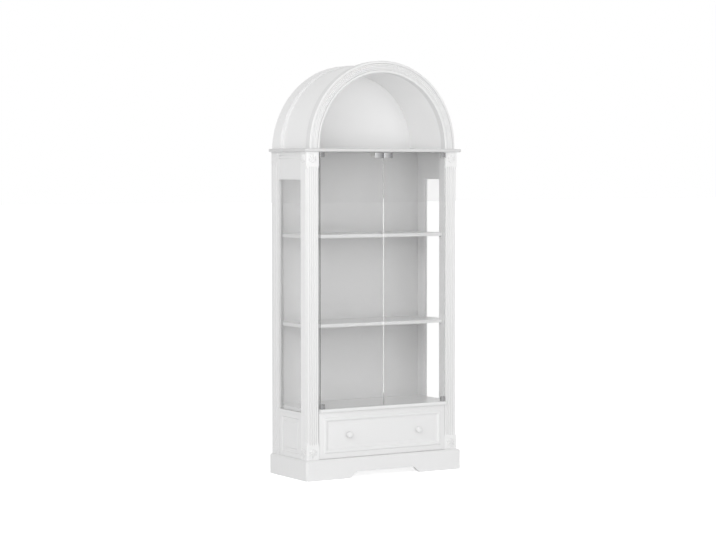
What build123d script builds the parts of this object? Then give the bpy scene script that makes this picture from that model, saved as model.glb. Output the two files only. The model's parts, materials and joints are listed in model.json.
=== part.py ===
from build123d import *
import math
import os

# Overall size in mm. Front faces -Y, up is +Z, origin under the middle of the bounding box.
overall_height = 2150
body_width = 920
body_depth = 360
front_reach = 30
rear_y = (body_depth + front_reach) / 2
post_front = rear_y - body_depth
half = body_width / 2

# Plinth
plinth_height = 106
plinth_side_overhang = 13
plinth_front = post_front - 28
plinth_half = half + plinth_side_overhang
plinth_board = 22
plinth_cant = 12
plinth_chamfer = 8
foot_inner = plinth_half * 0.47
foot_run = 56
arch_flat = foot_inner - foot_run
arch_rise = 32

# Posts and side frames
post_width = 75
post_depth = 57
post_inner = half - post_width
post_rear = post_front + post_depth
capital_height = 63
stile_thick = 22
stile_width = 78
stile_front = rear_y - stile_width
side_inner = half - stile_thick
outer_chamfer = 11
inner_chamfer = 6
stop_length = 30
flute_count = 4
flute_pitch = 12.3
flute_radius = 4
flute_margin = 16
stile_flute_radius = 5
stile_flute_low = 50
stile_flute_high = 55

# Levels
ring_setback = 18
ring_radius = half - ring_setback
ring_stilt = 11
cornice_thick = 17
cornice_top = overall_height - ring_radius - ring_stilt
cornice_bottom = cornice_top - cornice_thick
cornice_side = 16
cornice_front = 18
deck_top = 364
deck_thick = 19
deck_bottom = deck_top - deck_thick
deck_nose = post_front - 15
window_bottom = deck_bottom + 2
side_rail_height = 142
window_top = cornice_bottom - side_rail_height
bead_levels = (cornice_bottom - 35, cornice_bottom - 19)
bead_radius = 2.6
sill_height = 13
back_inner = rear_y - 15
back_thick = 10
bottom_thick = 18

# Glazing
rebate = 8
glass_thick = 4
glass_setback = 12

# Doors
door_glass = 6
door_plane = post_front - 5
door_side_gap = 3
door_middle_gap = 3
door_bottom = deck_top + 4
door_top = cornice_bottom - 6
pivot_x = post_inner - 13
pin_radius = 3
pin_clearance = 0.05
pin_engage = 12
clamp_wall = 3
clamp_height = 22
strike_width = 50
strike_height = 27
strike_wall = 2

# Touch latch
latch_front = door_plane + 10
latch_depth = 50
latch_half = 40
latch_drop = 24
plunger_x = 27
plunger_radius = 4
plunger_length = 24
plunger_gap = 0.3

# Drawer
drawer_gap = 2
drawer_base = plinth_height + 3
drawer_top = deck_bottom - 3
drawer_face = post_front - 1
drawer_slab = 20
moulding_proud = 6
panel_sink = 3
panel_half = post_inner - 54
panel_bottom = drawer_base + 48
panel_top = drawer_top - 61
moulding_width = 25
drawer_side_outer = post_inner - 13
drawer_side_thick = 12
drawer_floor = drawer_base + 16
drawer_box_top = drawer_top - 7
drawer_rear = rear_y - 45
drawer_bottom_thick = 6
knob_spacing = post_inner * 0.55
knob_rise = 6
knob_height = (panel_bottom + panel_top) / 2 + knob_rise
knob_radius = 17
knob_tip = -rear_y
stop_spacing = post_inner * 0.52
stop_width = 50
stop_depth = 18
stop_height = 60

# Shelves
shelf_thick = 18
bay_height = cornice_bottom - deck_top
shelf_tops = (deck_top + bay_height * 0.678, deck_top + bay_height * 0.329)
shelf_front = post_front + 27
shelf_clearance = 1
pin_shelf_radius = 2.5

# Arched top
ring_front = post_front - 8
ring_depth = 40
ring_back = ring_front + ring_depth
ring_width = 60
ring_inner = ring_radius - ring_width
ring_centre = cornice_top + ring_stilt
lining_inner = ring_inner + 2
lining_thick = 6
skin_radius = ring_radius - 8
skin_thick = 8
rear_ring_drop = 20
rear_ring_centre = cornice_top - rear_ring_drop
rear_ring_radius = half
rear_ring_depth = 80
rear_ring_back = rear_y - 5
rear_ring_front = rear_ring_back - rear_ring_depth
rear_lip = 10
arch_panel_thick = 10
rib_thick = 18

nodes = {}


def block(x0, x1, y0, y1, z0, z1):
    return Pos((x0 + x1) / 2, (y0 + y1) / 2, (z0 + z1) / 2) * Box(abs(x1 - x0), abs(y1 - y0), abs(z1 - z0))


def rod(x, y, z, radius, length, direction):
    start = Plane(origin=(x, y, z), z_dir=direction)
    return extrude(start * Circle(radius), length)


def pair(name, shape):
    nodes[name + "_right"] = shape
    nodes[name + "_left"] = mirror(shape, Plane.YZ)


def group(name, shapes):
    nodes[name] = Compound(children=[shape for shape in shapes])


# A stopped chamfer on one vertical corner, with an ogee lamb's tongue at each end.
def stopped_chamfer(x, y, outward, size, z0, z1):
    depth = size / math.sqrt(2)
    corner = Plane(origin=(x, y, 0), x_dir=(-outward, 1, 0), z_dir=(1, outward, 0))
    up = 1 if corner.y_dir.Z > 0 else -1
    low = up * z0
    high = up * z1
    step = up * stop_length
    tongue_low = Spline((0, low), (depth / 2, low + step / 2), (depth, low + step), tangents=[(0, up), (0, up)])
    shaft = Line((depth, low + step), (depth, high - step))
    tongue_high = Spline(
        (depth, high - step), (depth / 2, high - step / 2), (0, high), tangents=[(0, up), (0, up)]
    )
    outside = Polyline((0, high), (-size, high), (-size, low), (0, low))
    face = make_face(Wire([*tongue_low.edges(), *shaft.edges(), *tongue_high.edges(), *outside.edges()]))
    return extrude(corner * face, size * 1.5, both=True)


# A flute with a half-round section and round ends, cut into a face at x, y.
def flute(x, y, z0, z1, radius):
    shaft = rod(x, y, z0, radius, z1 - z0, (0, 0, 1))
    return shaft + Pos(x, y, z0) * Sphere(radius) + Pos(x, y, z1) * Sphere(radius)


# A raised pointed tongue on a capital or foot block.
def tongue(plane, width, height, proud):
    outline = Polyline(
        (-width / 2, height / 2), (width / 2, height / 2), (width / 2, height / 6), (0, -height / 2),
        (-width / 2, height / 6), close=True
    )
    return extrude(plane * make_face(outline), amount=proud, taper=35)


# Front post on the right, from the plinth to the cornice.
post_bottom = plinth_height
post_top = cornice_bottom
shaft_low = post_bottom + capital_height
shaft_high = post_top - capital_height
post = block(post_inner, half, post_front, post_rear, post_bottom, post_top)
post -= stopped_chamfer(half, post_front, 1, outer_chamfer, shaft_low, shaft_high)
post -= stopped_chamfer(post_inner, post_front, -1, inner_chamfer, shaft_low, shaft_high)
post_middle = half - post_width / 2 - (outer_chamfer - inner_chamfer) / 2
for index in range(flute_count):
    flute_x = post_middle + (index - (flute_count - 1) / 2) * flute_pitch
    post -= flute(flute_x, post_front - 0.5, shaft_low + flute_margin, shaft_high - flute_margin, flute_radius)
front_block = Plane(origin=(half - post_width / 2, post_front, 0), x_dir=(1, 0, 0), z_dir=(0, -1, 0))
side_block = Plane(origin=(half, post_front + post_depth / 2, 0), x_dir=(0, 1, 0), z_dir=(1, 0, 0))
block_middle = capital_height / 2
for face, width in ((front_block, 44), (side_block, 34)):
    post += tongue(face.shift_origin(face.origin + Vector(0, 0, post_bottom + block_middle)), width, 46, 2)
    post += tongue(face.shift_origin(face.origin + Vector(0, 0, post_top - block_middle)), width, 46, 2)
rebate_outer = half - glass_setback
post -= block(side_inner, rebate_outer, post_rear - rebate, post_rear, window_bottom - rebate, window_top + rebate)
post_pin_y = (shelf_front + post_rear) / 2
for top in shelf_tops:
    pin_z = top - shelf_thick - pin_shelf_radius
    post -= rod(post_inner, post_pin_y, pin_z, pin_shelf_radius, 9, (1, 0, 0))
pair("front_post", post)

# Rear stile with two stopped flutes, capital and foot blocks.
stile = block(side_inner, half, stile_front, rear_y, post_bottom, post_top)
stile_middle = (stile_front + rear_y) / 2
for offset in (-flute_pitch, flute_pitch):
    stile -= flute(half + 0.5, stile_middle + offset, post_bottom + stile_flute_low, post_top - stile_flute_high,
                   stile_flute_radius)
stile_plane = Plane(origin=(half, stile_middle, post_bottom + 18), x_dir=(0, 1, 0), z_dir=(1, 0, 0))
stile += tongue(stile_plane, 48, 26, 2)
stile += tongue(stile_plane.shift_origin(Vector(half, stile_middle, post_top - 18)), 48, 26, 2)
stile -= block(side_inner, rebate_outer, stile_front, stile_front + rebate, window_bottom - rebate,
               window_top + rebate)
stile_pin_y = rear_y - 45
for top in shelf_tops:
    pin_z = top - shelf_thick - pin_shelf_radius
    stile -= rod(side_inner, stile_pin_y, pin_z, pin_shelf_radius, 9, (1, 0, 0))
pair("rear_stile", stile)

# Side frieze rail with bed mouldings, sill, lower panel.
frieze_face = half - 4
frieze = block(side_inner, frieze_face, post_rear, stile_front, window_top, cornice_bottom)
for level in bead_levels:
    bead = Plane(origin=(frieze_face, post_rear, level), x_dir=(1, 0, 0), z_dir=(0, 1, 0))
    frieze += extrude(bead * Circle(bead_radius), stile_front - post_rear) & block(
        side_inner, half, post_rear, stile_front, level - 3, level + 3
    )
frieze -= block(side_inner, rebate_outer, post_rear, stile_front, window_top, window_top + rebate)
pair("side_frieze", frieze)

sill = block(side_inner, half + 1, post_rear, stile_front, window_bottom - sill_height, window_bottom)
sill -= block(side_inner, rebate_outer, post_rear, stile_front, window_bottom - rebate, window_bottom)
pair("side_sill", sill)

panel_head = window_bottom - sill_height
lower_panel = block(side_inner, half - 1, post_rear, stile_front, post_bottom, panel_head)
field_plane = Plane(
    origin=(half - 1, (post_rear + stile_front) / 2, (post_bottom + panel_head) / 2),
    x_dir=(0, 1, 0), z_dir=(1, 0, 0)
)
field_width = stile_front - post_rear - 44
field_height = panel_head - post_bottom - 44
lower_panel -= extrude(field_plane * Rectangle(field_width, field_height), amount=-6, taper=40)
lower_panel += extrude(
    field_plane.offset(-6) * Rectangle(field_width - 44, field_height - 44), amount=3, taper=50
)
pair("side_lower_panel", lower_panel)

# Side panes and the glazing beads that hold them.
pane_play = 0.5
pane_front = post_rear - rebate + pane_play
pane_rear = stile_front + rebate - pane_play
pane_low = window_bottom - rebate
pane_high = window_top + rebate - pane_play
pane = block(rebate_outer - glass_thick, rebate_outer, pane_front, pane_rear, pane_low, pane_high)
pair("side_glass", pane)
bead_outer = rebate_outer - glass_thick
bead_frame = block(side_inner, bead_outer, pane_front, pane_rear, pane_low, pane_high)
bead_frame -= block(side_inner - 1, bead_outer + 1, post_rear, stile_front, window_bottom, window_top)
inner_edges = bead_frame.edges().filter_by(lambda edge: abs(edge.center().X - side_inner) < 0.01)
inner_edges = inner_edges.filter_by(
    lambda edge: post_rear - 1 < edge.center().Y < stile_front + 1
    and window_bottom - 1 < edge.center().Z < window_top + 1
    and (abs(edge.center().Y - post_rear) < 0.01 or abs(edge.center().Y - stile_front) < 0.01
         or abs(edge.center().Z - window_bottom) < 0.01 or abs(edge.center().Z - window_top) < 0.01)
)
pair("glazing_bead", chamfer(inner_edges, 3))

# Plinth with an ogee bracket cut-out, canted corners and a chamfered top edge.
rise_left = Spline((-foot_inner, 0), (-(foot_inner + arch_flat) / 2, arch_rise / 2), (-arch_flat, arch_rise),
                   tangents=[(1, 0.25), (1, 0.05)])
rise_right = Spline((arch_flat, arch_rise), ((foot_inner + arch_flat) / 2, arch_rise / 2), (foot_inner, 0),
                    tangents=[(1, -0.05), (1, -0.25)])
plinth_outline = Wire([
    *rise_left.edges(),
    *Line((-arch_flat, arch_rise), (arch_flat, arch_rise)).edges(),
    *rise_right.edges(),
    *Polyline((foot_inner, 0), (plinth_half, 0), (plinth_half, plinth_height), (-plinth_half, plinth_height),
              (-plinth_half, 0), (-foot_inner, 0)).edges(),
])
front_plane = Plane(origin=(0, plinth_front, 0), x_dir=(1, 0, 0), z_dir=(0, -1, 0))
front_board = extrude(front_plane * make_face(plinth_outline), amount=-plinth_board)
corner_edges = front_board.edges().filter_by(Axis.Z).filter_by(
    lambda edge: abs(edge.center().Y - plinth_front) < 0.01 and abs(edge.center().X) > half
)
front_board = chamfer(corner_edges, plinth_cant)
plinth_join = plinth_front + plinth_board


# The cut that runs the top chamfer round the plinth.
def chamfer_cut():
    low = plinth_height - plinth_chamfer
    rim = Rectangle(2 * plinth_half + 40, 2 * (rear_y - plinth_front) + 40)
    middle = (0, rear_y, low)
    depth = rear_y - plinth_front
    cant = plinth_cant
    outline = Polyline(
        (-plinth_half, depth), (-plinth_half, -depth + cant), (-plinth_half + cant, -depth),
        (plinth_half - cant, -depth), (plinth_half, -depth + cant), (plinth_half, depth), close=True
    )
    outer = extrude(Plane(middle) * rim, plinth_chamfer)
    return outer - extrude(Plane(middle) * make_face(outline), plinth_chamfer, taper=45)


top_cut = chamfer_cut()
nodes["plinth_front"] = front_board - top_cut
side_board = block(plinth_half - plinth_board, plinth_half, plinth_join, rear_y, 0, plinth_height)
pair("plinth_side", side_board - top_cut)
frame_inner = plinth_half - plinth_board
plinth_back_front = rear_y - plinth_board
nodes["plinth_back"] = block(-frame_inner, frame_inner, plinth_back_front, rear_y, arch_rise, plinth_height)
glue_block = 40
block_top = plinth_height - bottom_thick
glue_blocks = []
for sign in (-1, 1):
    for y0 in (plinth_join, plinth_back_front - glue_block):
        corner = block(sign * frame_inner, sign * (frame_inner - glue_block), y0, y0 + glue_block, 2, block_top)
        glue_blocks.append(chamfer(corner.edges().filter_by(Axis.Z).filter_by(
            lambda edge: abs(edge.center().X) < frame_inner - 1
        ), 8))
group("plinth_blocks", glue_blocks)
nodes["bottom_panel"] = block(-frame_inner, frame_inner, plinth_join, plinth_back_front, block_top, plinth_height)

# Deck between the posts, with a rounded nosing.
deck = block(-side_inner, side_inner, post_rear, back_inner, deck_bottom, deck_top)
nosing = block(-post_inner, post_inner, deck_nose, post_rear, deck_bottom, deck_top)
nose_edges = nosing.edges().filter_by(Axis.X).filter_by(lambda edge: abs(edge.center().Y - deck_nose) < 0.01)
deck += fillet(nose_edges, 6)
bush_radius = 6
bush_depth = pin_engage
for sign in (-1, 1):
    deck -= rod(sign * pivot_x, door_plane, deck_top, bush_radius, bush_depth, (0, 0, -1))
nodes["deck"] = deck

# Cornice board that closes the case and carries the arch.
cornice_half = half + cornice_side
cornice = block(-cornice_half, cornice_half, post_front - cornice_front, rear_y, cornice_bottom, cornice_top)
rim_edges = cornice.edges().filter_by(
    lambda edge: edge.center().Y < rear_y - 1 and abs(edge.center().Z - (cornice_top + cornice_bottom) / 2) > 1
)
lower_edges = rim_edges.filter_by(lambda edge: edge.center().Z < cornice_bottom + 1)
cornice = fillet(lower_edges, 7)
upper_edges = cornice.edges().filter_by(
    lambda edge: edge.center().Y < rear_y - 1 and edge.center().Z > cornice_top - 0.01
)
cornice = fillet(upper_edges, 4)
for sign in (-1, 1):
    cornice -= rod(sign * pivot_x, door_plane, cornice_bottom, bush_radius, bush_depth, (0, 0, 1))
    cornice -= rod(sign * (latch_half + 8), latch_front + 20, cornice_bottom, 1.75, 10, (0, 0, 1))
nodes["cornice"] = cornice

# Back panel and its screws.
back_outer = back_inner + back_thick
nodes["back_panel"] = block(-side_inner, side_inner, back_inner, back_outer, plinth_height, cornice_bottom)
screw_radius = 1.75
screw_length = 14
screw_pitch = side_inner * 0.46
screws = []
for index in range(4):
    x = (index - 1.5) * screw_pitch
    z = (deck_bottom + deck_top) / 2
    shank = rod(x, back_outer, z, screw_radius, screw_length + back_thick, (0, -1, 0))
    nodes["back_panel"] -= rod(x, back_outer, z, screw_radius, back_thick, (0, -1, 0))
    nodes["deck"] -= rod(x, back_inner, z, screw_radius, screw_length, (0, -1, 0))
    head = rod(x, back_outer, z, 3.5, 2, (0, 1, 0))
    screws.append(shank + head)
group("back_screws", screws)

# Shelves notched round the posts, on pins.
shelf_half = side_inner - shelf_clearance
for name, top in zip(("shelf_upper", "shelf_lower"), shelf_tops):
    board = block(-shelf_half, shelf_half, post_rear + shelf_clearance, back_inner - shelf_clearance,
                  top - shelf_thick, top)
    board += block(-post_inner + shelf_clearance, post_inner - shelf_clearance, shelf_front,
                   post_rear + shelf_clearance, top - shelf_thick, top)
    front_edges = board.edges().filter_by(Axis.X).filter_by(
        lambda edge: abs(edge.center().Y - shelf_front) < 0.01
    )
    nodes[name] = fillet(front_edges, 2)
pins = []
for top in shelf_tops:
    pin_z = top - shelf_thick - pin_shelf_radius
    for sign in (-1, 1):
        pins.append(rod(sign * (post_inner - 8), post_pin_y, pin_z, pin_shelf_radius, 17, (sign, 0, 0)))
        pins.append(rod(sign * (side_inner - 8), stile_pin_y, pin_z, pin_shelf_radius, 17, (sign, 0, 0)))
group("shelf_pins", pins)

# Door panes with corner clamps, pivot pins, bushes and strike plates.
pane_front_y = door_plane - door_glass / 2
pane_back_y = door_plane + door_glass / 2
door_outer = post_inner - door_side_gap
door_inner = door_middle_gap / 2
glass = block(door_inner, door_outer, pane_front_y, pane_back_y, door_bottom, door_top)
pair("door_glass", glass)
clamp_low = door_bottom - clamp_wall
clamp_outer = door_outer + 1
clamp_span = 26


# A glass clamp closed at the side next to the pane's edge, with a hole for its pivot pin.
def clamp(edge_z, direction):
    web_z = edge_z - direction * clamp_wall
    far_z = edge_z + direction * clamp_height
    body = block(clamp_outer - clamp_span, clamp_outer, pane_front_y - clamp_wall, pane_back_y + clamp_wall,
                 min(web_z, far_z), max(web_z, far_z))
    upright = body.edges().filter_by(Axis.Z)
    body = chamfer(upright, 1)
    body -= block(door_inner, door_outer, pane_front_y, pane_back_y, min(edge_z, far_z + direction),
                  max(edge_z, far_z + direction))
    return body - rod(pivot_x, door_plane, edge_z, pin_radius, 2 * clamp_wall, (0, 0, -direction))


def bush(face_z, direction):
    outer = rod(pivot_x, door_plane, face_z, bush_radius, bush_depth, (0, 0, direction))
    return outer - rod(pivot_x, door_plane, face_z, pin_radius + pin_clearance, bush_depth, (0, 0, direction))


pair("hinge_clamp_bottom", clamp(door_bottom, 1))
pair("hinge_clamp_top", clamp(door_top, -1))
pin_reach = pin_engage - 1
bottom_pin_length = door_bottom - deck_top + pin_reach
top_pin_length = cornice_bottom - door_top + pin_reach
hinge_pins = Compound(children=[
    rod(pivot_x, door_plane, door_bottom, pin_radius, bottom_pin_length, (0, 0, -1)),
    rod(pivot_x, door_plane, door_top, pin_radius, top_pin_length, (0, 0, 1)),
])
pair("hinge_pins", hinge_pins)
right_bushes = [bush(deck_top, -1), bush(cornice_bottom, 1)]
group("pivot_bushes", right_bushes + [mirror(ring, Plane.YZ) for ring in right_bushes])
strike_low = door_top - strike_height + strike_wall
strike = block(door_inner + 0.5, door_inner + 0.5 + strike_width, pane_front_y - strike_wall,
               pane_back_y + strike_wall, strike_low, door_top + strike_wall)
strike = chamfer(strike.edges().filter_by(Axis.Z), 0.8)
strike -= block(0, door_outer, pane_front_y, pane_back_y, strike_low - 1, door_top)
pair("strike_plate", strike)

# Double touch latch under the cornice.
latch_low = cornice_bottom - latch_drop
latch = block(-latch_half, latch_half, latch_front, latch_front + latch_depth, latch_low, cornice_bottom)
latch = chamfer(latch.edges().filter_by(Axis.X).filter_by(lambda edge: edge.center().Z < latch_low + 1), 3)
latch += block(-latch_half - 16, latch_half + 16, latch_front + 8, latch_front + 32, cornice_bottom - 4,
               cornice_bottom)
plunger_z = cornice_bottom - 14
plunger_tip = pane_back_y + strike_wall + plunger_gap
bore_depth = 32
for sign in (-1, 1):
    latch -= rod(sign * plunger_x, latch_front, plunger_z, plunger_radius + pin_clearance, bore_depth, (0, 1, 0))
    latch -= rod(sign * (latch_half + 8), latch_front + 20, cornice_bottom, 1.75, 6, (0, 0, -1))
nodes["latch_housing"] = latch
plunger = rod(plunger_x, plunger_tip, plunger_z, plunger_radius, plunger_length, (0, 1, 0))
tip_edge = plunger.edges().filter_by(lambda edge: abs(edge.center().Y - plunger_tip) < 0.01)
pair("latch_plunger", chamfer(tip_edge, 1))
latch_screws = []
for sign in (-1, 1):
    x = sign * (latch_half + 8)
    screw = rod(x, latch_front + 20, cornice_bottom - 4, 1.75, 13, (0, 0, 1))
    latch_screws.append(screw + rod(x, latch_front + 20, cornice_bottom - 4, 3.5, 1.5, (0, 0, -1)))
group("latch_screws", latch_screws)

# Drawer front with a raised moulding round a sunk panel.
front_half = post_inner - drawer_gap
slab_back = drawer_face + drawer_slab
slab = block(-front_half, front_half, drawer_face, slab_back, drawer_base, drawer_top)
panel_plane = Plane(origin=(0, drawer_face, (panel_bottom + panel_top) / 2), x_dir=(1, 0, 0), z_dir=(0, -1, 0))
panel_width = 2 * panel_half
panel_height = panel_top - panel_bottom
slab += extrude(
    panel_plane * Rectangle(panel_width + 2 * moulding_width, panel_height + 2 * moulding_width),
    amount=moulding_proud, taper=52
)
sunk_depth = moulding_proud + panel_sink
slab -= extrude(
    panel_plane.offset(moulding_proud) * Rectangle(panel_width + 14, panel_height + 14),
    amount=-sunk_depth, taper=38
)
panel_face = drawer_face + panel_sink
slab += extrude(
    panel_plane.offset(-panel_sink) * Rectangle(panel_width - 46, panel_height - 46), amount=2, taper=60
)
knob_seat = panel_face - 2
floor_low = drawer_floor + 8
floor_high = floor_low + drawer_bottom_thick
groove = 6
slab -= block(-drawer_side_outer + groove, drawer_side_outer - groove, slab_back - groove, slab_back, floor_low,
              floor_high)
for sign in (-1, 1):
    slab -= rod(sign * knob_spacing, slab_back, knob_height, 2, slab_back - knob_seat, (0, -1, 0))
nodes["drawer_front"] = slab
side_inner_x = drawer_side_outer - drawer_side_thick
drawer_side = block(side_inner_x, drawer_side_outer, slab_back, drawer_rear, drawer_floor, drawer_box_top)
drawer_side -= block(side_inner_x, side_inner_x + groove, slab_back, drawer_rear, floor_low, floor_high)
pair("drawer_side", drawer_side)
nodes["drawer_back"] = block(-side_inner_x, side_inner_x, drawer_rear - drawer_side_thick, drawer_rear,
                             floor_high, drawer_box_top)
nodes["drawer_bottom"] = block(-side_inner_x - groove, side_inner_x + groove, slab_back - groove, drawer_rear,
                               floor_low, floor_high)

# Turned knobs and the screws that hold them.
knob_length = knob_seat - knob_tip
knob_plane = Plane(origin=(0, 0, 0), x_dir=(1, 0, 0), z_dir=(0, 0, 1))
knob_head = [(knob_radius * math.sin(angle), -19 + 8 * math.cos(angle)) for angle in
             [math.radians(degrees) for degrees in range(40, 100, 15)]]
knob_crown = [(knob_radius * math.cos(angle), -19 - (knob_length - 19) * math.sin(angle)) for angle in
              [math.radians(degrees) for degrees in range(25, 90, 16)]]
knob_base = [(0, -knob_length), (0, 0), (11, 0), (11, -2), (7.5, -4), (7, -9)]
knob_face = make_face(Polyline(*knob_base, *knob_head, *knob_crown, close=True))
knob = revolve(knob_plane * knob_face, Axis.Y)
knob -= rod(0, 0, 0, 2, 12, (0, -1, 0))
knob_screws = []
pair("knob", Pos(knob_spacing, knob_seat, knob_height) * knob)
for sign in (-1, 1):
    x = sign * knob_spacing
    shank = rod(x, slab_back, knob_height, 2, slab_back - knob_seat + 11, (0, -1, 0))
    knob_screws.append(shank + rod(x, slab_back, knob_height, 4, 2.5, (0, 1, 0)))
group("knob_screws", knob_screws)

# Runners that carry and guide the drawer sides, and the stops behind it.
runner_gap = 0.3
runner = block(side_inner_x - 4, side_inner, post_rear, back_inner, plinth_height, drawer_floor - runner_gap)
runner += block(drawer_side_outer + 1, side_inner, post_rear, back_inner, drawer_floor - runner_gap,
                drawer_floor + 20)
pair("drawer_runner", runner)
stop_front = drawer_rear + runner_gap
group("drawer_stops", [
    block(sign * stop_spacing - stop_width / 2, sign * stop_spacing + stop_width / 2, stop_front,
          stop_front + stop_depth, plinth_height, plinth_height + stop_height)
    for sign in (-1, 1)
])


# A half-round solid standing on the cornice, of the given radius, centre height and y span.
def arch_disc(radius, centre, y0, y1):
    disc = rod(0, y0, centre, radius, y1 - y0, (0, 1, 0))
    if centre > cornice_top:
        disc += block(-radius, radius, y0, y1, cornice_top - 5, centre)
    return disc & block(-2 * radius, 2 * radius, y0, y1, cornice_top, overall_height + 10)


# The moulded front ring: its section is turned round the arch and run down to the cornice.
def ring_section(sign):
    lip = ring_front + 6
    reed = (ring_radius - 12 - ring_inner - 12) / 4
    points = [(ring_inner, ring_back), (ring_radius, ring_back), (ring_radius, ring_front + 3)]
    edges = [Line(points[0], points[1]), Line(points[1], points[2])]
    edges.append(Line(points[2], (ring_radius - 3, ring_front)))
    edges.append(Line((ring_radius - 3, ring_front), (ring_radius - 12, ring_front)))
    radius = ring_radius - 12
    edges.append(Line((radius, ring_front), (radius, lip)))
    for index in range(4):
        crest_out = (radius - reed * 0.32, lip - 3.6)
        crest_in = (radius - reed * 0.68, lip - 3.6)
        edges.append(Line((radius, lip), crest_out))
        edges.append(Line(crest_out, crest_in))
        edges.append(Line(crest_in, (radius - reed, lip)))
        radius -= reed
    edges.append(Line((radius, lip), (radius, ring_front)))
    edges.append(Line((radius, ring_front), (ring_inner + 3, ring_front)))
    edges.append(Line((ring_inner + 3, ring_front), (ring_inner, ring_front + 3)))
    edges.append(Line((ring_inner, ring_front + 3), (ring_inner, ring_back)))
    face = make_face(Wire([*(edge.edges()[0] for edge in edges)]))
    if sign < 0:
        face = mirror(face, Plane.YZ)
    return Pos(0, 0, ring_centre) * face


ring = revolve(ring_section(1), Axis((0, 0, ring_centre), (0, -1, 0)), 180)
for sign in (-1, 1):
    ring += extrude(ring_section(sign), amount=ring_stilt, dir=(0, 0, -1))
nodes["arch_ring_front"] = ring

skin = arch_disc(skin_radius, cornice_top, ring_back, rear_ring_back - rear_lip)
skin -= arch_disc(skin_radius - skin_thick, cornice_top, ring_back, rear_ring_back - rear_lip)
nodes["vault_skin"] = skin
lining_end = rear_ring_back - rear_lip
lining = arch_disc(lining_inner + lining_thick, ring_centre, ring_back, lining_end)
lining -= arch_disc(lining_inner, ring_centre, ring_back, lining_end)
nodes["vault_lining"] = lining
rib_y = (ring_back + rear_ring_front) / 2
rib = arch_disc(skin_radius - skin_thick, cornice_top, rib_y, rib_y + rib_thick)
rib -= arch_disc(lining_inner + lining_thick, ring_centre, rib_y, rib_y + rib_thick)
nodes["vault_rib"] = rib
rear_ring = arch_disc(rear_ring_radius, rear_ring_centre, rear_ring_front, rear_ring_back)
rear_ring -= arch_disc(skin_radius, cornice_top, rear_ring_front, lining_end)
rear_ring -= arch_disc(lining_inner, ring_centre, lining_end, rear_ring_back)
nodes["arch_ring_rear"] = rear_ring
nodes["arch_back_panel"] = arch_disc(
    lining_inner, ring_centre, lining_end - arch_panel_thick, lining_end
)

os.makedirs("parts", exist_ok=True)
for name, shape in nodes.items():
    export_step(shape, f"parts/{name}.step")
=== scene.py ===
import json
import math

import bpy
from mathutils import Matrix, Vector


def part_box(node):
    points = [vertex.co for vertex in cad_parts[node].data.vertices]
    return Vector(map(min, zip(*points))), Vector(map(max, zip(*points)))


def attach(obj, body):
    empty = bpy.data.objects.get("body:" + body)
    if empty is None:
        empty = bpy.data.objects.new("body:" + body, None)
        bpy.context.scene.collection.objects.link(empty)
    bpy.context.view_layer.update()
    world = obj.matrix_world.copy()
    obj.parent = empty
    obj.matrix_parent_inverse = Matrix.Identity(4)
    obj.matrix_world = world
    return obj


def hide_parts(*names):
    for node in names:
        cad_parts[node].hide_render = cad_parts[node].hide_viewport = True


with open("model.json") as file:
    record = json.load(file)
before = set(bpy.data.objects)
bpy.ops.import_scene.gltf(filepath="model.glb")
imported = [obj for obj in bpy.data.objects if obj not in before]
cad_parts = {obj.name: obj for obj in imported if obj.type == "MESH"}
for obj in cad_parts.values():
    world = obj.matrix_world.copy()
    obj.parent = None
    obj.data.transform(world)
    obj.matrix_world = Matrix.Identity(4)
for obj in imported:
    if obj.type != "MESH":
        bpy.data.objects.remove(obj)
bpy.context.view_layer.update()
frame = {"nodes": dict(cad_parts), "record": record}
nodes = frame["nodes"]
slotOfNode = {part["node"]: part["material_slot"] for part in frame["record"]["subparts"]}
print("frame loaded:", len(nodes), "nodes")


# camera, from the fit of the photo's outlines
cameraSet = {
    "place": (-5.8977, -9.5648, 1.5870),
    "yaw": 31.437,
    "pitch": 2.676,
    "roll": 0.033,
    "focalPixels": 2139.9,
    "imageWidth": 716,
    "sensor": 36.0,
    "farClip": 200,
}


def addCamera(s):
    data = bpy.data.cameras.new("camera")
    data.sensor_width = s["sensor"]
    data.lens = s["focalPixels"] * s["sensor"] / s["imageWidth"]
    data.clip_end = s["farClip"]
    camera = bpy.data.objects.new("camera", data)
    bpy.context.scene.collection.objects.link(camera)
    camera.location = s["place"]
    camera.rotation_euler = (math.radians(90 - s["pitch"]), math.radians(s["roll"]), -math.radians(s["yaw"]))
    bpy.context.scene.camera = camera


addCamera(cameraSet)
print("camera set")


# shader node groups shared by several materials
def newGroup(name, inputs, outputs):
    group = bpy.data.node_groups.new(name, "ShaderNodeTree")
    for socketName, kind, value in inputs:
        socket = group.interface.new_socket(socketName, in_out="INPUT", socket_type=kind)
        socket.default_value = value
    for socketName, kind in outputs:
        group.interface.new_socket(socketName, in_out="OUTPUT", socket_type=kind)
    start = group.nodes.new("NodeGroupInput")
    end = group.nodes.new("NodeGroupOutput")
    start.location = (-900, 0)
    end.location = (700, 0)
    return group, start, end


def addNode(tree, kind, place=(0, 0), **settings):
    node = tree.nodes.new(kind)
    node.location = place
    for key, value in settings.items():
        setattr(node, key, value)
    return node


def mathNode(tree, operation, a, b, place=(0, 0)):
    node = addNode(tree, "ShaderNodeMath", place, operation=operation)
    for index, value in enumerate((a, b)):
        if hasattr(value, "is_output"):
            tree.links.new(value, node.inputs[index])
        elif value is not None:
            node.inputs[index].default_value = value
    return node.outputs[0]


filmSet = {
    "driftScale": 3.2, "driftDetail": 4, "peelDetail": 2,
    "grainSquash": (1, 1, 0.06), "grainDetail": 5, "grainRoughness": 0.6, "grainTint": 0.5,
    "glossDrift": 0.25, "peelShare": 0.35, "grainShare": 0.65,
}


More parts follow.
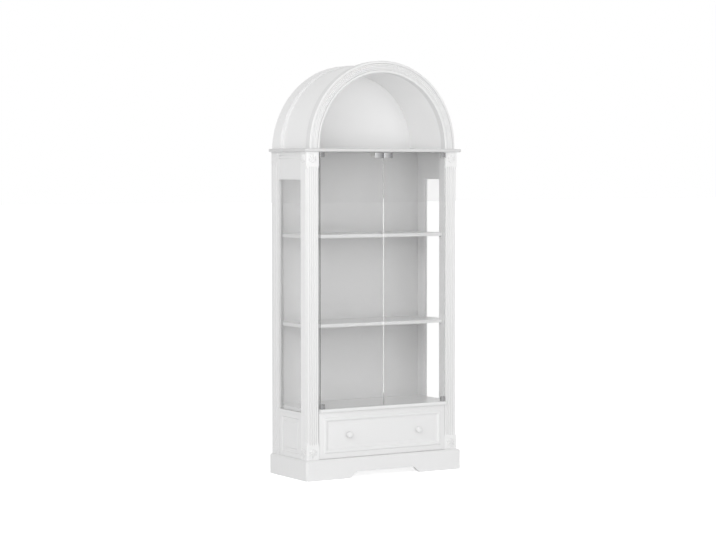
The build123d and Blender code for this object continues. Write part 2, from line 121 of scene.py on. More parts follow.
# sprayed paint: a slow drift in shade, a fine orange peel and a trace of grain under it
def paintGroup(s):
    group, start, end = newGroup(
        "sprayedPaint",
        [
            ("Color", "NodeSocketColor", (0.87, 0.87, 0.86, 1)),
            ("Drift", "NodeSocketFloat", 0.02),
            ("Gloss", "NodeSocketFloat", 0.35),
            ("Peel Scale", "NodeSocketFloat", 700.0),
            ("Grain Scale", "NodeSocketFloat", 60.0),
        ],
        [("Color", "NodeSocketColor"), ("Roughness", "NodeSocketFloat"), ("Height", "NodeSocketFloat")],
    )
    link = group.links.new
    coords = addNode(group, "ShaderNodeTexCoord", (-1100, -200))
    drift = addNode(group, "ShaderNodeTexNoise", (-700, 200))
    drift.inputs["Scale"].default_value = s["driftScale"]
    drift.inputs["Detail"].default_value = s["driftDetail"]
    link(coords.outputs["Object"], drift.inputs["Vector"])
    peel = addNode(group, "ShaderNodeTexNoise", (-700, -100))
    peel.inputs["Detail"].default_value = s["peelDetail"]
    link(coords.outputs["Object"], peel.inputs["Vector"])
    link(start.outputs["Peel Scale"], peel.inputs["Scale"])
    squash = addNode(group, "ShaderNodeMapping", (-900, -400))
    squash.inputs["Scale"].default_value = s["grainSquash"]
    link(coords.outputs["Object"], squash.inputs["Vector"])
    grain = addNode(group, "ShaderNodeTexNoise", (-700, -400))
    grain.inputs["Detail"].default_value = s["grainDetail"]
    grain.inputs["Roughness"].default_value = s["grainRoughness"]
    link(squash.outputs["Vector"], grain.inputs["Vector"])
    link(start.outputs["Grain Scale"], grain.inputs["Scale"])
    centred = mathNode(group, "SUBTRACT", drift.outputs["Fac"], 0.5, (-500, 200))
    amount = mathNode(group, "MULTIPLY", centred, start.outputs["Drift"], (-350, 200))
    grainShade = mathNode(group, "SUBTRACT", grain.outputs["Fac"], 0.5, (-500, -400))
    grainShade = mathNode(group, "MULTIPLY", grainShade, start.outputs["Drift"], (-350, -300))
    grainShade = mathNode(group, "MULTIPLY", grainShade, s["grainTint"], (-250, -300))
    shade = mathNode(group, "ADD", amount, grainShade, (-150, 100))
    shade = mathNode(group, "ADD", shade, 1.0, (-50, 100))
    tint = addNode(group, "ShaderNodeVectorMath", (150, 200), operation="SCALE")
    link(start.outputs["Color"], tint.inputs[0])
    link(shade, tint.inputs["Scale"])
    link(tint.outputs["Vector"], end.inputs["Color"])
    rough = mathNode(group, "MULTIPLY", centred, s["glossDrift"], (0, -50))
    rough = mathNode(group, "ADD", rough, start.outputs["Gloss"], (150, -50))
    link(rough, end.inputs["Roughness"])
    peelHeight = mathNode(group, "MULTIPLY", peel.outputs["Fac"], s["peelShare"], (0, -200))
    grainHeight = mathNode(group, "MULTIPLY", grain.outputs["Fac"], s["grainShare"], (0, -350))
    link(mathNode(group, "ADD", peelHeight, grainHeight, (200, -250)), end.inputs["Height"])
    return group


cloudSet = {"scale": 14, "detail": 6}


# a trace of dust on the faces that look up
def dustGroup(s):
    group, start, end = newGroup(
        "settledDust",
        [
            ("Color", "NodeSocketColor", (0.8, 0.8, 0.8, 1)),
            ("Dust Color", "NodeSocketColor", (0.7, 0.68, 0.64, 1)),
            ("Amount", "NodeSocketFloat", 0.08),
        ],
        [("Color", "NodeSocketColor")],
    )
    link = group.links.new
    geometry = addNode(group, "ShaderNodeNewGeometry", (-900, -200))
    split = addNode(group, "ShaderNodeSeparateXYZ", (-700, -200))
    link(geometry.outputs["Normal"], split.inputs["Vector"])
    up = mathNode(group, "MAXIMUM", split.outputs["Z"], 0.0, (-500, -200))
    coords = addNode(group, "ShaderNodeTexCoord", (-900, -500))
    cloud = addNode(group, "ShaderNodeTexNoise", (-700, -500))
    cloud.inputs["Scale"].default_value = s["scale"]
    cloud.inputs["Detail"].default_value = s["detail"]
    link(coords.outputs["Object"], cloud.inputs["Vector"])
    mask = mathNode(group, "MULTIPLY", up, cloud.outputs["Fac"], (-300, -300))
    mask = mathNode(group, "MULTIPLY", mask, start.outputs["Amount"], (-150, -300))
    mix = addNode(group, "ShaderNodeMix", (200, 0), data_type="RGBA")
    link(mask, mix.inputs["Factor"])
    link(start.outputs["Color"], mix.inputs[6])
    link(start.outputs["Dust Color"], mix.inputs[7])
    link(mix.outputs[2], end.inputs["Color"])
    return group


brushSet = {"stretch": (0.05, 1, 1), "detail": 3, "tint": 0.12, "glossDrift": 0.15}


# fine straight scratches of brushed or plated metal
def brushedGroup(s):
    group, start, end = newGroup(
        "brushedMetal",
        [
            ("Color", "NodeSocketColor", (0.8, 0.8, 0.8, 1)),
            ("Gloss", "NodeSocketFloat", 0.2),
            ("Scale", "NodeSocketFloat", 300.0),
        ],
        [("Color", "NodeSocketColor"), ("Roughness", "NodeSocketFloat"), ("Height", "NodeSocketFloat")],
    )
    link = group.links.new
    coords = addNode(group, "ShaderNodeTexCoord", (-1100, 0))
    stretch = addNode(group, "ShaderNodeMapping", (-900, 0))
    stretch.inputs["Scale"].default_value = s["stretch"]
    link(coords.outputs["Object"], stretch.inputs["Vector"])
    lines = addNode(group, "ShaderNodeTexNoise", (-700, 0))
    lines.inputs["Detail"].default_value = s["detail"]
    link(stretch.outputs["Vector"], lines.inputs["Vector"])
    link(start.outputs["Scale"], lines.inputs["Scale"])
    centred = mathNode(group, "SUBTRACT", lines.outputs["Fac"], 0.5, (-500, 0))
    shade = mathNode(group, "MULTIPLY_ADD", centred, s["tint"], (-300, 100))
    shade.node.inputs[2].default_value = 1.0
    tint = addNode(group, "ShaderNodeVectorMath", (0, 100), operation="SCALE")
    link(start.outputs["Color"], tint.inputs[0])
    link(shade, tint.inputs["Scale"])
    link(tint.outputs["Vector"], end.inputs["Color"])
    rough = mathNode(group, "MULTIPLY", centred, s["glossDrift"], (-300, -100))
    link(mathNode(group, "ADD", rough, start.outputs["Gloss"], (0, -100)), end.inputs["Roughness"])
    link(lines.outputs["Fac"], end.inputs["Height"])
    return group


groups = {"paint": paintGroup(filmSet), "dust": dustGroup(cloudSet), "metal": brushedGroup(brushSet)}
print("node groups made")


# materials
# the sprayed lacquer that most boards carry; each finish below says where it differs. The white finishes other
# than the plastic are all this one lacquer: their different colours are painted light and shade, set part by part
lacquerFilm = {
    "color": (0.85, 0.85, 0.85), "drift": 0.025, "gloss": 0.34, "peel": 700, "grain": 55,
    "bump": 0.05, "dust": 0.10, "coat": 0.25, "coatGloss": 0.15, "bumpDepth": 0.0004,
}
nicheFilm = {**lacquerFilm, "drift": 0.02, "peel": 600, "grain": 50, "bump": 0.04, "dust": 0.04}
paints = {
    "lacquer": lacquerFilm,
    # painted shade: shaded (cornice) and ring (front arch ring) are darker copies of the lacquer
    "shaded": {**lacquerFilm, "color": (0.69, 0.69, 0.69)},
    "ring": {**lacquerFilm, "color": (0.815, 0.815, 0.815), "gloss": 0.36, "dust": 0.08},
    # painted light: arch (vault and rear ring), fluted (posts), lining and nicheBack (niche) are lighter copies of
    # the lacquer
    "arch": {**lacquerFilm, "color": (0.93, 0.93, 0.93), "gloss": 0.36, "dust": 0.08},
    "fluted": {**lacquerFilm, "color": (0.9, 0.9, 0.9), "gloss": 0.38, "dust": 0.06, "coat": 0.2},
    "lining": {**nicheFilm, "color": (0.97, 0.97, 0.97), "gloss": 0.4, "coat": 0.1},
    "nicheBack": {**nicheFilm, "color": (0.94, 0.94, 0.94), "gloss": 0.45, "coat": 0.0},
    # painted shade: board is a darker copy of the lacquer
    "board": {
        **lacquerFilm, "color": (0.735, 0.735, 0.735), "drift": 0.03, "gloss": 0.5, "peel": 500, "grain": 40,
        "bump": 0.04, "dust": 0.06, "coat": 0.0,
    },
    "plastic": {
        **lacquerFilm, "color": (0.8, 0.8, 0.78), "drift": 0.02, "gloss": 0.42, "peel": 1500, "grain": 10,
        "dust": 0.0, "coat": 0.0,
    },
}


def shaderOf(material):
    return next(node for node in material.node_tree.nodes if node.type == "BSDF_PRINCIPLED")


def placeGroup(tree, group, place, values):
    node = addNode(tree, "ShaderNodeGroup", place)
    node.node_tree = group
    for key, value in values.items():
        node.inputs[key].default_value = value
    return node


def newMaterial(name):
    material = bpy.data.materials.new(name)
    material.use_nodes = True
    return material, material.node_tree, shaderOf(material)


def paintMaterial(name, s):
    material, tree, shader = newMaterial(name)
    film = placeGroup(tree, groups["paint"], (-700, 0), {
        "Color": (*s["color"], 1), "Drift": s["drift"], "Gloss": s["gloss"],
        "Peel Scale": s["peel"], "Grain Scale": s["grain"],
    })
    dust = placeGroup(tree, groups["dust"], (-400, 100), {"Amount": s["dust"]})
    bump = addNode(tree, "ShaderNodeBump", (-300, -300))
    bump.inputs["Strength"].default_value = s["bump"]
    bump.inputs["Distance"].default_value = s["bumpDepth"]
    tree.links.new(film.outputs["Color"], dust.inputs["Color"])
    tree.links.new(dust.outputs["Color"], shader.inputs["Base Color"])
    tree.links.new(film.outputs["Roughness"], shader.inputs["Roughness"])
    tree.links.new(film.outputs["Height"], bump.inputs["Height"])
    tree.links.new(bump.outputs["Normal"], shader.inputs["Normal"])
    shader.inputs["Coat Weight"].default_value = s["coat"]
    shader.inputs["Coat Roughness"].default_value = s["coatGloss"]
    return material


# color to dark is a painted reflection, a sweep across a plate, which repeats every "sweep" metres from -"start"
metals = {
    "chrome": {
        "color": (0.62, 0.62, 0.625), "dark": (0.15, 0.15, 0.155), "gloss": 0.2, "scale": 260,
        "bump": 0.02, "bumpDepth": 0.0003, "sweep": 0.054, "start": 0.0525,
    },
    # painted shade: clamp is a darker copy of the chrome, for the hinge clamps
    "clamp": {
        "color": (0.36, 0.36, 0.362), "dark": (0.2, 0.2, 0.202), "gloss": 0.24, "scale": 260,
        "bump": 0.02, "bumpDepth": 0.0003, "sweep": 0.05, "start": 0.0,
    },
    "steel": {
        "color": (0.58, 0.58, 0.6), "dark": (0.4, 0.4, 0.42), "gloss": 0.3, "scale": 420,
        "bump": 0.06, "bumpDepth": 0.0003, "sweep": 0.02, "start": 0.0,
    },
}


def metalMaterial(name, s):
    material, tree, shader = newMaterial(name)
    surface = placeGroup(tree, groups["metal"], (-600, 0), {
        "Color": (*s["color"], 1), "Gloss": s["gloss"], "Scale": s["scale"],
    })
    bump = addNode(tree, "ShaderNodeBump", (-300, -300))
    bump.inputs["Strength"].default_value = s["bump"]
    bump.inputs["Distance"].default_value = s["bumpDepth"]
    # painted reflection: the colour goes from light to dark across each plate, fixed in place along X, as if the
    # plate mirrored a dim corner
    coords = addNode(tree, "ShaderNodeTexCoord", (-1100, 300))
    place = addNode(tree, "ShaderNodeSeparateXYZ", (-900, 300))
    tree.links.new(coords.outputs["Object"], place.inputs["Vector"])
    shifted = mathNode(tree, "ADD", place.outputs["X"], s["start"], (-700, 300))
    share = mathNode(tree, "DIVIDE", shifted, s["sweep"], (-550, 300))
    share = mathNode(tree, "FRACT", share, None, (-400, 300))  # 0 at the light edge, 1 at the dark one
    paintedReflection = addNode(tree, "ShaderNodeMix", (-200, 200), data_type="RGBA")
    paintedReflection.inputs[7].default_value = (*s["dark"], 1)
    tree.links.new(share, paintedReflection.inputs["Factor"])
    tree.links.new(surface.outputs["Color"], paintedReflection.inputs[6])
    tree.links.new(paintedReflection.outputs[2], shader.inputs["Base Color"])
    tree.links.new(surface.outputs["Roughness"], shader.inputs["Roughness"])
    tree.links.new(surface.outputs["Height"], bump.inputs["Height"])
    tree.links.new(bump.outputs["Normal"], shader.inputs["Normal"])
    shader.inputs["Metallic"].default_value = 1.0
    return material


# edgeDim and edgeGlow are the colours of the painted glow on the meeting edges, edgeGlow between the heights
# glowLow and glowHigh
glassSet = {
    "color": (0.99, 0.99, 0.99), "ior": 1.5, "shadow": 0.3,
    "waviness": 5, "bump": 0.02, "bumpDepth": 0.0002,
    "edgeDim": (0.18, 0.18, 0.18), "edgeGlow": (0.54, 0.54, 0.54),
    "edgeReach": 0.01, "edgeFacing": 0.5, "glowLow": 0.43, "glowHigh": 1.44,
}


# masks for the painted glow: 1 on the two edges that meet at the middle, and 1 between the heights of the side
# windows
def meetingEdges(tree, coords, s):
    geometry = addNode(tree, "ShaderNodeNewGeometry", (-1000, 300))
    normal = addNode(tree, "ShaderNodeSeparateXYZ", (-800, 300))
    tree.links.new(geometry.outputs["Normal"], normal.inputs["Vector"])
    turned = mathNode(tree, "ABSOLUTE", normal.outputs["X"], None, (-700, 350))
    sideways = mathNode(tree, "GREATER_THAN", turned, s["edgeFacing"], (-600, 350))
    place = addNode(tree, "ShaderNodeSeparateXYZ", (-800, 150))
    tree.links.new(coords.outputs["Object"], place.inputs["Vector"])
    away = mathNode(tree, "ABSOLUTE", place.outputs["X"], None, (-700, 200))
    middle = mathNode(tree, "LESS_THAN", away, s["edgeReach"], (-600, 200))
    above = mathNode(tree, "GREATER_THAN", place.outputs["Z"], s["glowLow"], (-600, 100))
    below = mathNode(tree, "LESS_THAN", place.outputs["Z"], s["glowHigh"], (-600, 0))
    edge = mathNode(tree, "MULTIPLY", sideways, middle, (-500, 300))
    level = mathNode(tree, "MULTIPLY", above, below, (-500, 50))
    return edge, level


# clear float glass that lets most light through to the shelves; its meeting edges carry a painted glow, an
# emission that stands in for light piped from the side windows
def glassMaterial(name, s):
    material, tree, shader = newMaterial(name)
    coords = addNode(tree, "ShaderNodeTexCoord", (-1000, 0))
    wave = addNode(tree, "ShaderNodeTexNoise", (-800, -500))
    wave.inputs["Scale"].default_value = s["waviness"]
    tree.links.new(coords.outputs["Object"], wave.inputs["Vector"])
    bump = addNode(tree, "ShaderNodeBump", (-300, -500))
    bump.inputs["Strength"].default_value = s["bump"]
    bump.inputs["Distance"].default_value = s["bumpDepth"]
    tree.links.new(wave.outputs["Fac"], bump.inputs["Height"])
    tree.links.new(bump.outputs["Normal"], shader.inputs["Normal"])
    edge, level = meetingEdges(tree, coords, s)
    # painted glow: the meeting edges emit, brighter between the heights of the side windows
    paintedGlowByHeight = addNode(tree, "ShaderNodeMix", (-400, 400), data_type="RGBA")
    paintedGlowByHeight.inputs[6].default_value = (*s["edgeDim"], 1)
    paintedGlowByHeight.inputs[7].default_value = (*s["edgeGlow"], 1)
    tree.links.new(level, paintedGlowByHeight.inputs["Factor"])
    paintedEdgeGlow = addNode(tree, "ShaderNodeMix", (-200, 300), data_type="RGBA")
    paintedEdgeGlow.inputs[6].default_value = (0, 0, 0, 1)
    tree.links.new(paintedGlowByHeight.outputs[2], paintedEdgeGlow.inputs[7])
    tree.links.new(edge, paintedEdgeGlow.inputs["Factor"])
    tree.links.new(paintedEdgeGlow.outputs[2], shader.inputs["Emission Color"])
    shader.inputs["Emission Strength"].default_value = 1.0
    shader.inputs["Roughness"].default_value = 0.0
    path = addNode(tree, "ShaderNodeLightPath", (-800, -300))
    clear = addNode(tree, "ShaderNodeMapRange", (-600, -300))
    clear.inputs["To Min"].default_value = 1.0
    clear.inputs["To Max"].default_value = s["shadow"]
    tree.links.new(path.outputs["Is Shadow Ray"], clear.inputs["Value"])
    tree.links.new(clear.outputs["Result"], shader.inputs["Alpha"])
    shader.inputs["Base Color"].default_value = (*s["color"], 1)
    shader.inputs["Transmission Weight"].default_value = 1.0
    shader.inputs["IOR"].default_value = s["ior"]
    return material


woodSet = {"light": (0.74, 0.63, 0.47), "dark": (0.65, 0.53, 0.38), "scale": 9.0, "stretch": 0.09,
           "distortion": 6, "detail": 4, "bump": 0.15, "bumpDepth": 0.0004, "roughness": 0.62}


# planed wood with long rings, for the drawer box and the hidden blocks
def woodMaterial(name, s):
    material, tree, shader = newMaterial(name)
    coords = addNode(tree, "ShaderNodeTexCoord", (-1200, 0))
    along = addNode(tree, "ShaderNodeMapping", (-1000, 0))
    along.inputs["Scale"].default_value = (1, s["stretch"], 1)
    tree.links.new(coords.outputs["Object"], along.inputs["Vector"])
    rings = addNode(tree, "ShaderNodeTexWave", (-800, 0), wave_type="BANDS", bands_direction="X")
    rings.inputs["Scale"].default_value = s["scale"]
    rings.inputs["Distortion"].default_value = s["distortion"]
    rings.inputs["Detail"].default_value = s["detail"]
    tree.links.new(along.outputs["Vector"], rings.inputs["Vector"])
    ramp = addNode(tree, "ShaderNodeValToRGB", (-500, 0))
    ramp.color_ramp.elements[0].color = (*s["dark"], 1)
    ramp.color_ramp.elements[1].color = (*s["light"], 1)
    tree.links.new(rings.outputs["Fac"], ramp.inputs["Fac"])
    tree.links.new(ramp.outputs["Color"], shader.inputs["Base Color"])
    bump = addNode(tree, "ShaderNodeBump", (-300, -300))
    bump.inputs["Strength"].default_value = s["bump"]
    bump.inputs["Distance"].default_value = s["bumpDepth"]
    tree.links.new(rings.outputs["Fac"], bump.inputs["Height"])
    tree.links.new(bump.outputs["Normal"], shader.inputs["Normal"])
    shader.inputs["Roughness"].default_value = s["roughness"]
    return material


finishes = {
    "white_lacquer": paintMaterial("whiteLacquer", paints["lacquer"]),
    "white_board": paintMaterial("whiteBoard", paints["board"]),
    "pale_plastic": paintMaterial("palePlastic", paints["plastic"]),
    "chrome": metalMaterial("polishedChrome", metals["chrome"]),
    "steel": metalMaterial("platedSteel", metals["steel"]),
    "clear_glass": glassMaterial("clearGlass", glassSet),
    "bare_wood": woodMaterial("bareWood", woodSet),
}
print("materials made")


def useMaterial(piece, material):
    piece.data.materials.clear()
    piece.data.materials.append(material)


edgeSet = {"merge": 0.00002, "width": 0.0012, "segments": 2, "angle": 35}
# boards without screw holes, whose edges are eased
softNodes = ("plinth", "side_sill", "side_frieze", "side_lower_panel", "shelf_upper", "shelf_lower",
             "drawer_side", "drawer_back", "bottom_panel")


def softenEdges(piece, s):
    weld = piece.modifiers.new("weld", "WELD")
    weld.merge_threshold = s["merge"]
    bevel = piece.modifiers.new("softEdge", "BEVEL")
    bevel.width = s["width"]
    bevel.segments = s["segments"]
    bevel.limit_method = "ANGLE"
    bevel.angle_limit = math.radians(s["angle"])
    bevel.harden_normals = True


# color is the painted shade in the flutes, corner the painted shade on the chamfers
grooveSet = {
    "color": (0.77, 0.77, 0.77), "corner": (0.76, 0.76, 0.76), "cornerShare": 2.0,
    "face": -0.1652, "depth": 0.0026, "middle": 0.4235, "reach": 0.0245, "back": -0.15,
}


# painted shade in the flutes of the posts, darker by how deep a point lies behind the front face
def shadeGrooves(material, s):
    tree = material.node_tree
    shader = shaderOf(material)
    plain = shader.inputs["Base Color"].links[0].from_socket
    coords = addNode(tree, "ShaderNodeTexCoord", (-1200, 500))
    place = addNode(tree, "ShaderNodeSeparateXYZ", (-1000, 500))
    tree.links.new(coords.outputs["Object"], place.inputs["Vector"])
    depth = addNode(tree, "ShaderNodeMapRange", (-800, 600))
    depth.inputs["From Min"].default_value = s["face"]
    depth.inputs["From Max"].default_value = s["face"] + s["depth"]
    tree.links.new(place.outputs["Y"], depth.inputs["Value"])
    across = mathNode(tree, "ABSOLUTE", place.outputs["X"], None, (-800, 400))
    across = mathNode(tree, "SUBTRACT", across, s["middle"], (-650, 400))
    across = mathNode(tree, "ABSOLUTE", across, None, (-500, 400))
    within = mathNode(tree, "LESS_THAN", across, s["reach"], (-350, 400))
    shallow = mathNode(tree, "LESS_THAN", place.outputs["Y"], s["back"], (-350, 550))
    fluted = mathNode(tree, "MULTIPLY", within, shallow, (-200, 450))
    mask = mathNode(tree, "MULTIPLY", fluted, depth.outputs["Result"], (-50, 500))
    shade = addNode(tree, "ShaderNodeMix", (0, 350), data_type="RGBA")
    shade.inputs[7].default_value = (*s["color"], 1)
    tree.links.new(mask, shade.inputs["Factor"])
    tree.links.new(plain, shade.inputs[6])
    # painted shade: the chamfered corners face the lamp squarely, so their colour is painted darker to hold down
    # the highlight the lamp puts on them
    geometry = addNode(tree, "ShaderNodeNewGeometry", (-1200, 900))
    facing = addNode(tree, "ShaderNodeSeparateXYZ", (-1000, 900))
    tree.links.new(geometry.outputs["Normal"], facing.inputs["Vector"])
    slant = mathNode(tree, "MULTIPLY", facing.outputs["X"], facing.outputs["Y"], (-800, 900))
    slant = mathNode(tree, "ABSOLUTE", slant, None, (-650, 900))
    slant = mathNode(tree, "MULTIPLY", slant, s["cornerShare"], (-500, 900))
    outside = mathNode(tree, "SUBTRACT", 1.0, within, (-350, 800))
    corner = addNode(tree, "ShaderNodeMix", (150, 500), data_type="RGBA")
    corner.inputs[7].default_value = (*s["corner"], 1)
    chamferShadeMask = mathNode(tree, "MULTIPLY", slant, outside, (-200, 850))
    tree.links.new(chamferShadeMask, corner.inputs["Factor"])
    tree.links.new(shade.outputs[2], corner.inputs[6])
    tree.links.new(corner.outputs[2], shader.inputs["Base Color"])
    return material


# nodes whose finish is not the one of their slot: lighter and darker copies of the lacquer as painted light and
# shade, the posts with painted shade in their flutes and on their chamfers, and the clamps in a darker chrome as
# painted shade. The bottom panel takes the plain lacquer in place of its slot's finish, to be lighter: painted
# light
archFinish = paintMaterial("archLacquer", paints["arch"])
postFinish = shadeGrooves(paintMaterial("flutedLacquer", paints["fluted"]), grooveSet)
# painted shade: the hinge clamps get a darker copy of the polished chrome
clampFinish = metalMaterial("clampChrome", metals["clamp"])
nodeFinishes = {
    "vault_lining": paintMaterial("nicheLacquer", paints["lining"]),
    "arch_back_panel": paintMaterial("nicheBoard", paints["nicheBack"]),
    "arch_ring_front": paintMaterial("ringLacquer", paints["ring"]),
    "arch_ring_rear": archFinish,
    "vault_skin": archFinish,
    "cornice": paintMaterial("shadedLacquer", paints["shaded"]),
    "front_post_left": postFinish,
    "front_post_right": postFinish,
    "bottom_panel": finishes["white_lacquer"],
}
for nodeName in nodes:
    if nodeName.startswith("hinge_clamp"):
        nodeFinishes[nodeName] = clampFinish

for nodeName, piece in nodes.items():
    finish = nodeFinishes.get(nodeName, finishes[slotOfNode[nodeName]])
    for materialSlot in piece.material_slots:
        materialSlot.material = finish
    if nodeName.startswith(softNodes):
        softenEdges(piece, edgeSet)
print("finishes placed")


# pieces modelled here, some in place of plain CAD ones
def pickOnly(piece):
    bpy.ops.object.select_all(action="DESELECT")
    piece.select_set(True)
    bpy.context.view_layer.objects.active = piece


def applyPlace():
    bpy.ops.object.transform_apply(location=True, rotation=True, scale=True)


def smoothBy(degrees):
    bpy.ops.object.shade_smooth_by_angle(angle=math.radians(degrees))


def startEdit(piece):
    pickOnly(piece)
    bpy.ops.object.mode_set(mode="EDIT")
    bpy.ops.mesh.select_mode(type="FACE")
    bpy.ops.mesh.select_all(action="DESELECT")


facingSet = {"agreement": 0.9, "slack": 0.00005}


# selects the faces whose normal points along a direction, the furthest along it only
def selectFacing(piece, direction, s):
    bpy.ops.object.mode_set(mode="OBJECT")
    reach = {}
    for face in piece.data.polygons:
        if face.normal.dot(direction) > s["agreement"]:
            reach[face.index] = face.center.dot(direction)
    furthest = max(reach.values())
    for face in piece.data.polygons:
        face.select = face.index in reach and reach[face.index] > furthest - s["slack"]
    bpy.ops.object.mode_set(mode="EDIT")


# leaves edit mode, gives the piece the finish of its slot, hangs it on its body and hides the CAD node it stands
# in for
def finishPiece(piece, name, body, slotName, nodeName):
    bpy.ops.mesh.select_all(action="SELECT")
    bpy.ops.mesh.normals_make_consistent(inside=False)
    bpy.ops.object.mode_set(mode="OBJECT")
    applyPlace()
    piece.name = name
    useMaterial(piece, finishes[slotName])
    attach(piece, body)
    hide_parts(nodeName)


# each turn: radius, and distance from the drawer front
knobSet = {
    "sides": 48, "smooth": 60,
    "turns": [
        (0.0110, 0.0020), (0.0104, 0.0028), (0.0078, 0.0042), (0.0068, 0.0062), (0.0070, 0.0082),
        (0.0100, 0.0100), (0.0136, 0.0122), (0.0160, 0.0152), (0.0168, 0.0186), (0.0164, 0.0222),
        (0.0148, 0.0252), (0.0118, 0.0277), (0.0078, 0.0291), (0.0036, 0.0297),
    ],
}


# a turned knob: one disc, drawn out along -Y and sized again at each turn of the profile
def turnKnob(side, s):
    node = "knob_" + side
    low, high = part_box(node)
    radius, reach = s["turns"][0]
    middle = ((low[0] + high[0]) / 2, high[1] - reach / 2, (low[2] + high[2]) / 2)
    bpy.ops.object.select_all(action="DESELECT")
    bpy.ops.mesh.primitive_cylinder_add(
        vertices=s["sides"], radius=radius, depth=reach, location=middle, rotation=(math.radians(90), 0, 0))
    piece = bpy.context.object
    applyPlace()
    startEdit(piece)
    selectFacing(piece, Vector((0, -1, 0)), facingSet)
    for nextRadius, nextReach in s["turns"][1:]:
        bpy.ops.mesh.extrude_region_move(TRANSFORM_OT_translate={"value": (0, reach - nextReach, 0)})
        ratio = nextRadius / radius
        bpy.ops.transform.resize(value=(ratio, ratio, ratio))
        radius, reach = nextRadius, nextReach
    finishPiece(piece, "turnedKnob_" + side, "drawer", "white_lacquer", node)
    smoothBy(s["smooth"])


# each step of the moulding: how far the next line lies inside the last, and how far it comes forward
drawerSet = {
    "frontY": -0.166, "margin": 0.026, "grow": (0.0013, 0.0022),
    "bevel": 0.0009, "bevelSegments": 3, "bevelAngle": 18, "smooth": 35,
    "steps": [
        (0.0035, 0.0038), (0.0030, 0.0018), (0.0060, 0.0004), (0.0025, -0.0012), (0.0060, -0.0058),
        (0.0035, -0.0010), (0.0140, 0.0), (0.0030, 0.0012), (0.0200, 0.0012),
    ],
}


# the drawer front: a slab whose face is inset and drawn in and out to form the moulding and the field
def panelDrawer(s):
    low, high = [list(corner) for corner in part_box("drawer_front")]
    for axis, more in ((0, s["grow"][0]), (2, s["grow"][1])):
        low[axis] -= more
        high[axis] += more
    low[1] = s["frontY"]
    bpy.ops.object.select_all(action="DESELECT")
    bpy.ops.mesh.primitive_cube_add(size=1, location=[(a + b) / 2 for a, b in zip(low, high)])
    piece = bpy.context.object
    piece.scale = [b - a for a, b in zip(low, high)]
    applyPlace()
    startEdit(piece)
    selectFacing(piece, Vector((0, -1, 0)), facingSet)
    bpy.ops.mesh.inset(thickness=s["margin"], depth=0)
    for inward, forward in s["steps"]:
        bpy.ops.mesh.inset(thickness=inward, depth=0)
        bpy.ops.transform.translate(value=(0, -forward, 0))
    finishPiece(piece, "panelledFront", "drawer", "white_lacquer", "drawer_front")
    bevel = piece.modifiers.new("softEdge", "BEVEL")
    bevel.width = s["bevel"]
    bevel.segments = s["bevelSegments"]
    bevel.limit_method = "ANGLE"
    bevel.angle_limit = math.radians(s["bevelAngle"])
    bpy.ops.object.modifier_apply(modifier="softEdge")
    smoothBy(s["smooth"])


# each lobe: its turn from upright in degrees, and half its length
leafSet = {
    "lobes": [(-62, 0.0125), (-33, 0.0175), (0, 0.0205), (33, 0.0175), (62, 0.0125)],
    "width": 0.0056, "proud": 0.0056, "ball": 0.0062, "segments": 20, "rings": 14, "smooth": 60,
    "capital": 1.629, "foot": 0.157, "front": (0.4235, -0.1668), "outer": (0.4618, -0.1365),
}


# a carved palmette: flattened lobes fanned from one ball
def carveLeaf(s):
    bpy.ops.object.select_all(action="DESELECT")
    lobes = []
    for turn, half in s["lobes"]:
        angle = math.radians(turn)
        bpy.ops.mesh.primitive_uv_sphere_add(
            segments=s["segments"], ring_count=s["rings"], radius=1,
            location=(math.sin(angle) * half, 0, math.cos(angle) * half),
            rotation=(0, angle, 0), scale=(s["width"], s["proud"], half))
        lobes.append(bpy.context.object)
    bpy.ops.mesh.primitive_uv_sphere_add(
        segments=s["segments"], ring_count=s["rings"], radius=1, scale=(s["ball"], s["proud"], s["ball"]))
    lobes.append(bpy.context.object)
    for lobe in lobes:
        lobe.select_set(True)
    bpy.ops.object.join()
    applyPlace()
    smoothBy(s["smooth"])
    piece = bpy.context.object
    useMaterial(piece, finishes["white_lacquer"])
    return piece


def placeLeaf(first, name, place, rotation):
    piece = first.copy()
    piece.data = first.data.copy()
    bpy.context.scene.collection.objects.link(piece)
    piece.location = place
    piece.rotation_euler = rotation
    pickOnly(piece)
    applyPlace()
    piece.name = name
    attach(piece, "cabinet")


# palmettes on the front and outer faces of both posts, upright on the capitals and hanging on the feet
def carveLeaves(s):
    first = carveLeaf(s)
    for side, sign in (("left", -1), ("right", 1)):
        for level, flip in (("capital", 0), ("foot", math.pi)):
            front = (sign * s["front"][0], s["front"][1], s[level])
            outer = (sign * s["outer"][0], s["outer"][1], s[level])
            placeLeaf(first, "leafFront_" + level + "_" + side, front, (0, flip, 0))
            placeLeaf(first, "leafOuter_" + level + "_" + side, outer, (0, flip, math.pi / 2))
    bpy.data.objects.remove(first)


turnKnob("left", knobSet)
turnKnob("right", knobSet)
panelDrawer(drawerSet)
carveLeaves(leafSet)
print("drawer front, knobs and leaves modelled")


# light, floor and background
lightSet = {
    "world": 0.55,
    "key": {"place": (-4.8, -4.1, 2.9), "aim": (0, 0, 1.25), "size": 4.6, "power": 138, "mirrored": True},
    "fill": {"place": (0.9, -6.2, 1.5), "aim": (0, 0, 1.15), "size": 3.0, "power": 66, "mirrored": False},
    "niche": {"place": (-0.8, -1.7, 1.95), "aim": (0.25, 0, 1.88), "size": 0.8, "power": 2.4, "mirrored": False},
}
# lift is the floor's own white where the camera sees it, mirrorLift where metal and glass do
floorSet = {
    "size": 160, "color": (0.9, 0.9, 0.9), "roughness": 0.9, "specular": 0.1, "lift": 0.85, "mirrorLift": 0.62,
}


def addLamp(name, s):
    data = bpy.data.lights.new(name, "AREA")
    data.shape = "SQUARE"
    data.size = s["size"]
    data.energy = s["power"]
    lamp = bpy.data.objects.new(name, data)
    lamp.visible_glossy = s["mirrored"]
    bpy.context.scene.collection.objects.link(lamp)
    lamp.location = s["place"]
    toAim = Vector(s["aim"]) - Vector(s["place"])
    lamp.rotation_euler = toAim.to_track_quat("-Z", "Y").to_euler()


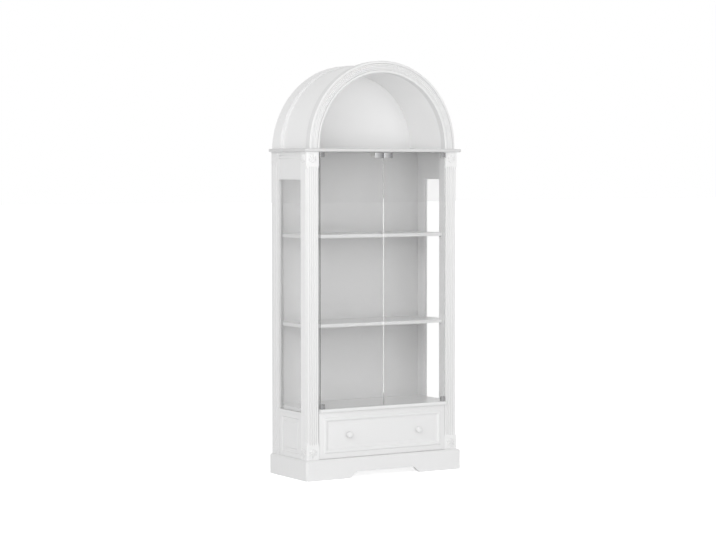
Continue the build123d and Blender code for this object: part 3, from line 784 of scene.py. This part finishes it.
# rays that show the background straight, in a mirror or through glass, and light nothing
def seenRays(tree, place):
    path = addNode(tree, "ShaderNodeLightPath", place)
    seen = mathNode(tree, "MAXIMUM", path.outputs["Is Camera Ray"], path.outputs["Is Glossy Ray"])
    seen = mathNode(tree, "MAXIMUM", seen, path.outputs["Is Transmission Ray"])
    direct = mathNode(tree, "LESS_THAN", path.outputs["Diffuse Depth"], 0.5)  # no painted surface on the way
    return mathNode(tree, "MULTIPLY", seen, direct)


def addWorld(strength):
    world = bpy.data.worlds.new("studio")
    world.use_nodes = True
    bpy.context.scene.world = world
    tree = world.node_tree
    background = next(node for node in tree.nodes if node.type == "BACKGROUND")
    background.inputs["Color"].default_value = (1, 1, 1, 1)
    level = addNode(tree, "ShaderNodeMapRange", (-300, -100))
    level.inputs["To Min"].default_value = strength
    level.inputs["To Max"].default_value = 1.0
    tree.links.new(seenRays(tree, (-700, -100)), level.inputs["Value"])
    tree.links.new(level.outputs["Result"], background.inputs["Strength"])


def addFloor(s):
    bpy.ops.object.select_all(action="DESELECT")
    bpy.ops.mesh.primitive_plane_add(size=s["size"])
    floor = bpy.context.object
    floor.name = "floor"
    material, tree, shader = newMaterial("whiteFloor")
    shader.inputs["Base Color"].default_value = (*s["color"], 1)
    shader.inputs["Roughness"].default_value = s["roughness"]
    shader.inputs["Specular IOR Level"].default_value = s["specular"]
    shader.inputs["Emission Color"].default_value = (1, 1, 1, 1)
    path = addNode(tree, "ShaderNodeLightPath", (-700, -600))
    level = addNode(tree, "ShaderNodeMapRange", (-400, -600))
    level.inputs["To Min"].default_value = s["lift"]
    level.inputs["To Max"].default_value = s["mirrorLift"]
    tree.links.new(path.outputs["Is Glossy Ray"], level.inputs["Value"])
    lift = mathNode(tree, "MULTIPLY", seenRays(tree, (-700, -300)), level.outputs["Result"], (-200, -300))
    tree.links.new(lift, shader.inputs["Emission Strength"])
    floor.data.materials.append(material)


addWorld(lightSet["world"])
for lampName in ("key", "fill", "niche"):
    addLamp(lampName, lightSet[lampName])
addFloor(floorSet)
bpy.context.scene.view_settings.view_transform = "Standard"
print("light and floor placed")
